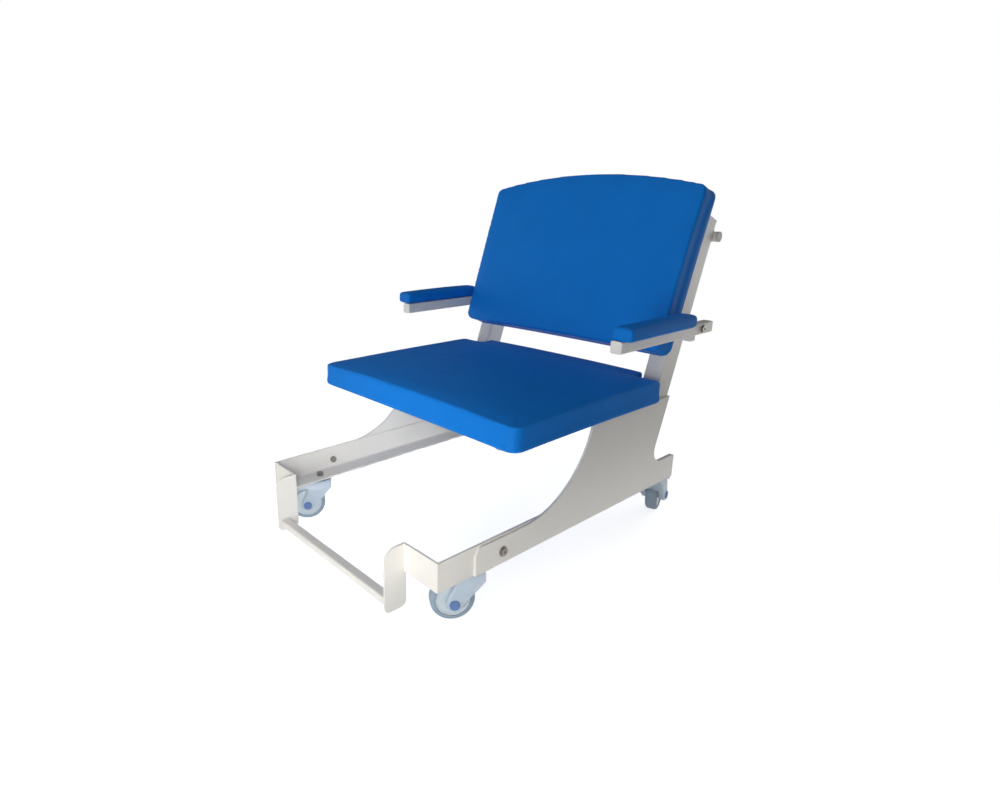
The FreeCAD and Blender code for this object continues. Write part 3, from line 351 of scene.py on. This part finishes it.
def add_to_chair(piece, slot, body):
    """Give a new piece its finish, and the body that it moves with."""
    dress(piece, slot)
    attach(piece, body)


def join(pieces, name):
    """Make one object of several pieces."""
    deselect()
    for piece in pieces:
        piece.select_set(True)
    bpy.context.view_layer.objects.active = pieces[0]
    bpy.ops.object.join()
    pieces[0].name = name
    return pieces[0]


def solids_of(node, name):
    """Copies of a node's separate solids, each filled over its bore."""
    copy_of(node, name)
    bpy.ops.object.mode_set(mode="EDIT")
    bpy.ops.mesh.select_all(action="SELECT")
    bpy.ops.mesh.separate(type="LOOSE")
    bpy.ops.object.mode_set(mode="OBJECT")
    solids = list(bpy.context.selected_objects)
    for solid in solids:
        make_active(solid)
        bpy.ops.object.mode_set(mode="EDIT")
        bpy.ops.mesh.select_all(action="SELECT")
        bpy.ops.mesh.convex_hull()
        bpy.ops.object.mode_set(mode="OBJECT")
    return solids


def weld_ring(solid, across):
    """Bead of weld round a solid, at one distance across the chair."""
    ring = bpy.data.objects.new("weld_ring", solid.data.copy())
    bpy.context.scene.collection.objects.link(ring)
    make_active(ring)
    bpy.ops.object.mode_set(mode="EDIT")
    bpy.ops.mesh.select_all(action="SELECT")
    bpy.ops.mesh.bisect(plane_co=(across, 0, 0), plane_no=(1, 0, 0), clear_inner=True, clear_outer=True)
    bpy.ops.object.mode_set(mode="OBJECT")
    bpy.ops.object.convert(target="CURVE")
    bpy.context.object.data.bevel_depth = sizes().weld
    bpy.ops.object.convert(target="MESH")
    return bpy.context.object


def swell(piece, rest, rest_way, held_depth):
    """Blow a cover up as a cloth that is held where it rests, and keep each point's move small."""
    start = places(piece)
    depth = (start - np.array(rest)) @ np.array(rest_way)
    held = piece.vertex_groups.new(name="held")
    held.add([int(row) for row in np.nonzero(depth < held_depth)[0]], 1, "REPLACE")
    make_active(piece)
    cloth = piece.modifiers.new("Cloth", "CLOTH")
    cloth.settings.quality = 4
    cloth.settings.use_pressure = True
    cloth.settings.uniform_pressure_force = 4
    cloth.settings.tension_stiffness = 25
    cloth.settings.compression_stiffness = 25
    cloth.settings.shear_stiffness = 10
    cloth.settings.bending_stiffness = 4
    cloth.settings.vertex_group_mass = "held"
    cloth.settings.effector_weights.gravity = 0
    scene = bpy.context.scene
    for step in range(1, SWELL_FRAMES + 1):
        scene.frame_set(step)
    bpy.ops.object.modifier_apply(modifier=cloth.name)
    scene.frame_set(1)
    move = places(piece) - start
    reach = np.linalg.norm(move, axis=1, keepdims=True)
    set_places(piece, start + move * np.minimum(1, sizes().swell / np.maximum(reach, 1e-9)))
    piece.vertex_groups.clear()


def upholster(node, voxel, rest, rest_way, held_depth):
    """Cover for a pad: its CAD form, drawn in a little, blown up as cloth, and smoothed."""
    piece = copy_of(node, node + "_cover")
    piece.data.remesh_voxel_size = voxel
    make_active(piece)
    bpy.ops.object.voxel_remesh()
    apply_modifier(piece, "DISPLACE", strength=-sizes().draw_in, mid_level=0)
    swell(piece, rest, rest_way, held_depth)
    apply_modifier(piece, "SMOOTH", factor=0.5, iterations=3)
    apply_modifier(piece, "SUBSURF", levels=1, render_levels=1)
    bpy.ops.object.shade_smooth()
    add_to_chair(piece, SLOT_OF[node], BODY_OF[node])
    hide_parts(node)


class CHAIR_OT_seat_cover(bpy.types.Operator):
    """Make the seat's padded cover"""

    bl_idname = "chair.seat_cover"
    bl_label = "Seat cover"

    def execute(self, context):
        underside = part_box("seat_cushion")[0]
        upholster("seat_cushion", sizes().seat_voxel, underside, (0, 0, 1), sizes().stapled)
        return {"FINISHED"}


class CHAIR_OT_back_cover(bpy.types.Operator):
    """Make the backrest's padded cover"""

    bl_idname = "chair.back_cover"
    bl_label = "Back cover"

    def execute(self, context):
        # The cover rests on the leaning board, so the board's ends give the way that it faces
        board = places(NODES["back_board"])
        foot = board[np.argmin(board[:, 2])]
        head = board[np.argmax(board[:, 1] + board[:, 2])]
        lean = math.atan2(head[1] - foot[1], head[2] - foot[2])
        forward = (0, -math.cos(lean), math.sin(lean))
        cushion = places(NODES["back_cushion"])
        rest = cushion[np.argmin(cushion @ np.array(forward))]
        upholster("back_cushion", sizes().seat_voxel, rest, forward, sizes().stapled)
        return {"FINISHED"}


class CHAIR_OT_arm_covers(bpy.types.Operator):
    """Make the padded covers of both arm pads"""

    bl_idname = "chair.arm_covers"
    bl_label = "Arm pad covers"

    def execute(self, context):
        for side in SIDES:
            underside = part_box("arm_pad_" + side)[0]
            upholster("arm_pad_" + side, sizes().arm_voxel, underside, (0, 0, 1), sizes().arm_voxel)
        return {"FINISHED"}


class CHAIR_OT_weld_beads(bpy.types.Operator):
    """Run weld beads round the ends of the cross tubes, back rails, foot bar and arm stops"""

    bl_idname = "chair.weld_beads"
    bl_label = "Weld beads"

    def execute(self, context):
        rings = []
        for node in WELDED_NODES:
            for solid in solids_of(node, node + "_filled"):
                rows = places(solid)[:, 0]
                ends = [rows.min() + sizes().weld / 2, rows.max() - sizes().weld / 2]
                # A stop is welded at its inner end alone
                if node == "arm_stops":
                    ends = [min(ends, key=abs)]
                rings += [weld_ring(solid, end) for end in ends]
                bpy.data.objects.remove(solid)
        beads = join(rings, "frame_welds")
        ripple = bpy.data.textures.new("weld_ripple", "CLOUDS")
        ripple.noise_scale = 2 * sizes().weld
        apply_modifier(beads, "SUBSURF", levels=1, render_levels=1)
        apply_modifier(beads, "DISPLACE", texture=ripple, strength=sizes().weld / 2, mid_level=0.6)
        bpy.ops.object.shade_smooth()
        add_to_chair(beads, "white_powder_coat", "frame")
        return {"FINISHED"}


class CHAIR_OT_washers(bpy.types.Operator):
    """Put a washer round each rail bolt's head, against the side plate"""

    bl_idname = "chair.washers"
    bl_label = "Washers"

    def execute(self, context):
        plate_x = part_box("side_plate_right")[1].x
        low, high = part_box("rail_bolts")
        thick = 0.3 * (high.x - plate_x)
        washers = []
        for side in (-1, 1):
            deselect()
            bpy.ops.mesh.primitive_cylinder_add(
                vertices=48, radius=sizes().washer / 2, depth=thick, rotation=(0, math.pi / 2, 0),
                location=(side * (plate_x + thick / 2), (low.y + high.y) / 2, (low.z + high.z) / 2))
            bpy.ops.object.transform_apply()
            bpy.ops.object.mode_set(mode="EDIT")
            bpy.ops.mesh.bevel(offset=thick / 4, segments=2)
            bpy.ops.object.mode_set(mode="OBJECT")
            bpy.ops.object.shade_smooth_by_angle(angle=SOFT_EDGE_ANGLE)
            washers.append(context.object)
        add_to_chair(join(washers, "rail_washers"), "zinc_steel", "frame")
        return {"FINISHED"}


class CHAIR_OT_pedal_grips(bpy.types.Operator):
    """Put grip ridges across the brake pedals"""

    bl_idname = "chair.pedal_grips"
    bl_label = "Pedal grips"

    def execute(self, context):
        for corner in CORNERS:
            node = "brake_pedal_" + corner
            joint = JOINTS[corner + "_brake"]
            pin = np.array(joint["pos_m"])
            axis = np.array(joint["axis"])
            ahead = np.array((axis[1], -axis[0], 0))
            rows = places(NODES[node])
            reach = (rows - pin) @ ahead
            width = np.ptp((rows[reach > reach.max() / 2] - pin) @ axis)
            top = rows[reach > reach.max() / 2][:, 2].max()
            ridges = []
            for count in range(1, PEDAL_RIDGES + 1):
                spot = pin + ahead * (reach.max() - count * sizes().ridge_step)
                ridges.append(self.ridge((spot[0], spot[1], top), 0.8 * width, math.atan2(axis[1], axis[0])))
            grip = join(ridges, "pedal_grip_" + corner)
            add_to_chair(grip, SLOT_OF[node], BODY_OF[node])
        return {"FINISHED"}

    def ridge(self, place, width, turn):
        """Rounded bar that lies across a pedal, half sunk in its top."""
        height = 2 * sizes().ridge
        deselect()
        bpy.ops.mesh.primitive_cube_add(size=1, location=place, rotation=(0, 0, turn),
                                        scale=(width, sizes().ridge_step / 3, height))
        bpy.ops.object.transform_apply()
        bpy.ops.object.mode_set(mode="EDIT")
        bpy.ops.mesh.bevel(offset=height / 3, segments=2)
        bpy.ops.object.mode_set(mode="OBJECT")
        bpy.ops.object.shade_smooth_by_angle(angle=SOFT_EDGE_ANGLE)
        return bpy.context.object


class CHAIR_OT_frame_finish(bpy.types.Operator):
    """Give every rigid piece of the chair its finish"""

    bl_idname = "chair.frame_finish"
    bl_label = "Frame finish"

    def execute(self, context):
        for node, slot in SLOT_OF.items():
            piece = NODES[node]
            dress(piece, slot)
            make_active(piece)
            bpy.ops.object.shade_smooth_by_angle(angle=math.radians(30))
        deselect()
        return {"FINISHED"}


class CHAIR_OT_studio(bpy.types.Operator):
    """Set up the pale floor, the soft lights and the camera"""

    bl_idname = "chair.studio"
    bl_label = "Studio"

    def execute(self, context):
        scene = context.scene
        scene.view_settings.view_transform = "Standard"
        self.floor()
        self.world(scene)
        for lamp in LAMPS:
            self.lamp(*lamp)
        self.camera(scene)
        return {"FINISHED"}

    def floor(self):
        """Pale floor that is white to the camera away from the chair, and keeps the shadow near it."""
        deselect()
        bpy.ops.mesh.primitive_plane_add(size=60)
        floor = bpy.context.object
        floor.name = "studio_floor"
        made, tree, place = start_material("pale_studio_floor")
        seen = add_node(tree, "ShaderNodeLightPath")
        direct = add_node(tree, "ShaderNodeMath", {0: seen.outputs["Is Camera Ray"],
                                                   1: seen.outputs["Is Glossy Ray"]}, operation="MAXIMUM")
        matt = add_node(tree, "ShaderNodeBsdfDiffuse", {"Color": (*colours().floor, 1)})
        glow = add_node(tree, "ShaderNodeEmission", {"Color": (1, 1, 1, 1), "Strength": FLOOR_GLOW})
        lifted = add_node(tree, "ShaderNodeAddShader")
        tree.links.new(matt.outputs[0], lifted.inputs[0])
        tree.links.new(glow.outputs[0], lifted.inputs[1])
        near = add_node(tree, "ShaderNodeMixShader", {"Fac": direct.outputs[0]})
        tree.links.new(matt.outputs[0], near.inputs[1])
        tree.links.new(lifted.outputs[0], near.inputs[2])
        far = add_node(tree, "ShaderNodeEmission", {"Color": (1, 1, 1, 1), "Strength": 1})
        reach = add_node(tree, "ShaderNodeVectorMath", {0: place}, operation="LENGTH")
        fade = add_node(tree, "ShaderNodeMapRange", {"Value": reach.outputs["Value"], "From Min": 0.7,
                                                     "From Max": 1.6}, interpolation_type="SMOOTHSTEP")
        away = add_node(tree, "ShaderNodeMath", {0: fade.outputs["Result"], 1: direct.outputs[0]},
                        operation="MULTIPLY")
        whole = add_node(tree, "ShaderNodeMixShader", {"Fac": away.outputs[0]})
        tree.links.new(near.outputs[0], whole.inputs[1])
        tree.links.new(far.outputs[0], whole.inputs[2])
        finish_material(tree, whole)
        floor.data.materials.append(made)

    def world(self, scene):
        """Even light from all round, with a white backdrop for the camera."""
        world = bpy.data.worlds.new("studio_world")
        scene.world = world
        world.use_nodes = True
        tree = world.node_tree
        tree.nodes.clear()
        seen = add_node(tree, "ShaderNodeLightPath")
        room = add_node(tree, "ShaderNodeBackground", {"Color": (1, 1, 1, 1), "Strength": ROOM_LIGHT})
        backdrop = add_node(tree, "ShaderNodeBackground", {"Color": (1, 1, 1, 1), "Strength": 1})
        shown = add_node(tree, "ShaderNodeMixShader", {"Fac": seen.outputs["Is Camera Ray"]})
        tree.links.new(room.outputs[0], shown.inputs[1])
        tree.links.new(backdrop.outputs[0], shown.inputs[2])
        add_node(tree, "ShaderNodeOutputWorld", {"Surface": shown.outputs[0]})

    def lamp(self, name, place, target, size, power, spread):
        """Softbox that faces a target; a spread below 180 degrees narrows its beam."""
        deselect()
        bpy.ops.object.light_add(type="AREA", location=place)
        lamp = bpy.context.object
        lamp.name = name
        lamp.rotation_euler = (Vector(target) - Vector(place)).to_track_quat("-Z", "Y").to_euler()
        lamp.data.shape = "ELLIPSE"
        lamp.data.size, lamp.data.size_y = size
        lamp.data.energy = power
        lamp.data.spread = math.radians(spread)
        lamp.visible_camera = False

    def camera(self, scene):
        """Camera at the photograph's angle."""
        deselect()
        seat_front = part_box("seat_cushion")[0].y
        bpy.ops.object.camera_add(location=(CAMERA_RIGHT, seat_front - CAMERA_AHEAD, CAMERA_HEIGHT),
                                  rotation=(math.pi / 2 - CAMERA_DOWN, 0, CAMERA_TURN))
        camera = bpy.context.object
        camera.data.sensor_width = 36
        camera.data.lens = CAMERA_LENS
        camera.data.shift_x, camera.data.shift_y = CAMERA_SHIFT
        scene.camera = camera


class CHAIR_PT_looks(bpy.types.Panel):
    """Sidebar list of the chair's steps"""

    bl_idname = "CHAIR_PT_looks"
    bl_label = "Transfer chair"
    bl_space_type = "VIEW_3D"
    bl_region_type = "UI"
    bl_category = "Transfer chair"

    def draw(self, context):
        for operator in OPERATORS:
            self.layout.operator(operator.bl_idname)
        for group in (context.scene.chair_sizes, context.scene.chair_colours):
            for name in group.__annotations__:
                self.layout.prop(group, name)


OPERATORS = (CHAIR_OT_frame_finish, CHAIR_OT_weld_beads, CHAIR_OT_washers, CHAIR_OT_pedal_grips,
             CHAIR_OT_seat_cover, CHAIR_OT_back_cover, CHAIR_OT_arm_covers, CHAIR_OT_studio)
CLASSES = (ChairColours, ChairSizes, *OPERATORS, CHAIR_PT_looks)


def register():
    for kind in CLASSES:
        bpy.utils.register_class(kind)
    bpy.types.Scene.chair_colours = bpy.props.PointerProperty(type=ChairColours)
    bpy.types.Scene.chair_sizes = bpy.props.PointerProperty(type=ChairSizes)


def unregister():
    del bpy.types.Scene.chair_colours
    del bpy.types.Scene.chair_sizes
    for kind in reversed(CLASSES):
        bpy.utils.unregister_class(kind)


def main():
    register()
    bpy.ops.chair.frame_finish()
    bpy.ops.chair.weld_beads()
    bpy.ops.chair.washers()
    bpy.ops.chair.pedal_grips()
    bpy.ops.chair.seat_cover()
    bpy.ops.chair.back_cover()
    bpy.ops.chair.arm_covers()
    bpy.ops.chair.studio()


if __name__ == "__main__":
    main()
